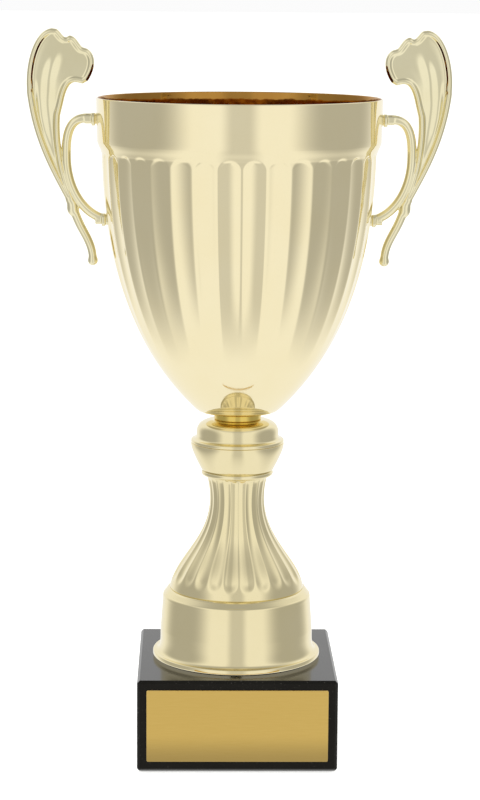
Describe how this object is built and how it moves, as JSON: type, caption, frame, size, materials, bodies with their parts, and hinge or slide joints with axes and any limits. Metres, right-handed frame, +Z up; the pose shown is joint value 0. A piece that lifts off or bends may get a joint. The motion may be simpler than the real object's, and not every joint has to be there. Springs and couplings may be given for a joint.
{
  "type": "cup trophy",
  "caption": "Two-handled cup trophy: fluted bowl with leaf-shaped scroll handles on a fluted trumpet stem, with a knob, over a square stone block with a blank name plate.",
  "frame": {"origin": "on the surface the trophy stands on, on the axis of the tie rod, which is the centre of the bounding box's bottom face", "axes": "+Z up along the tie rod, -Y towards the viewer through the name plate, +X towards the right-hand handle"},
  "size_m": [0.1902, 0.1284, 0.33],
  "materials": {
    "felt": "pressed felt",
    "black_marble": "polished black marble with fine pale flecks",
    "adhesive_foam": "double-sided foam tape",
    "satin_brass": "satin anodised, blank",
    "zinc_steel": "bright zinc plate",
    "black_rubber": "matt",
    "gold_plated_plastic": "vacuum-metallised plastic, pale gold mirror",
    "gold_plate": "polished and plated in pale gold",
    "gold_plated_casting": "plated zinc casting, pale gold mirror",
    "fibre": "vulcanised fibre"
  },
  "bodies": {
    "root": {"foot_pads": "felt", "base_block": "black_marble", "plate_tape": "adhesive_foam", "name_plate": "satin_brass", "base_nut": "zinc_steel", "spring_washer": "zinc_steel", "base_washer": "zinc_steel", "base_gasket": "black_rubber", "foot": "gold_plated_plastic", "stem": "gold_plated_plastic", "knob_cone": "gold_plated_plastic", "knob_cap": "gold_plated_plastic", "collar": "gold_plate", "bowl_gasket": "fibre", "bowl": "gold_plate", "bowl_washer": "zinc_steel", "bowl_nut": "zinc_steel", "tie_rod": "zinc_steel", "handle_left": "gold_plated_casting", "handle_right": "gold_plated_casting", "handle_washers": "zinc_steel", "handle_screws": "zinc_steel"}
  },
  "joints": []
}
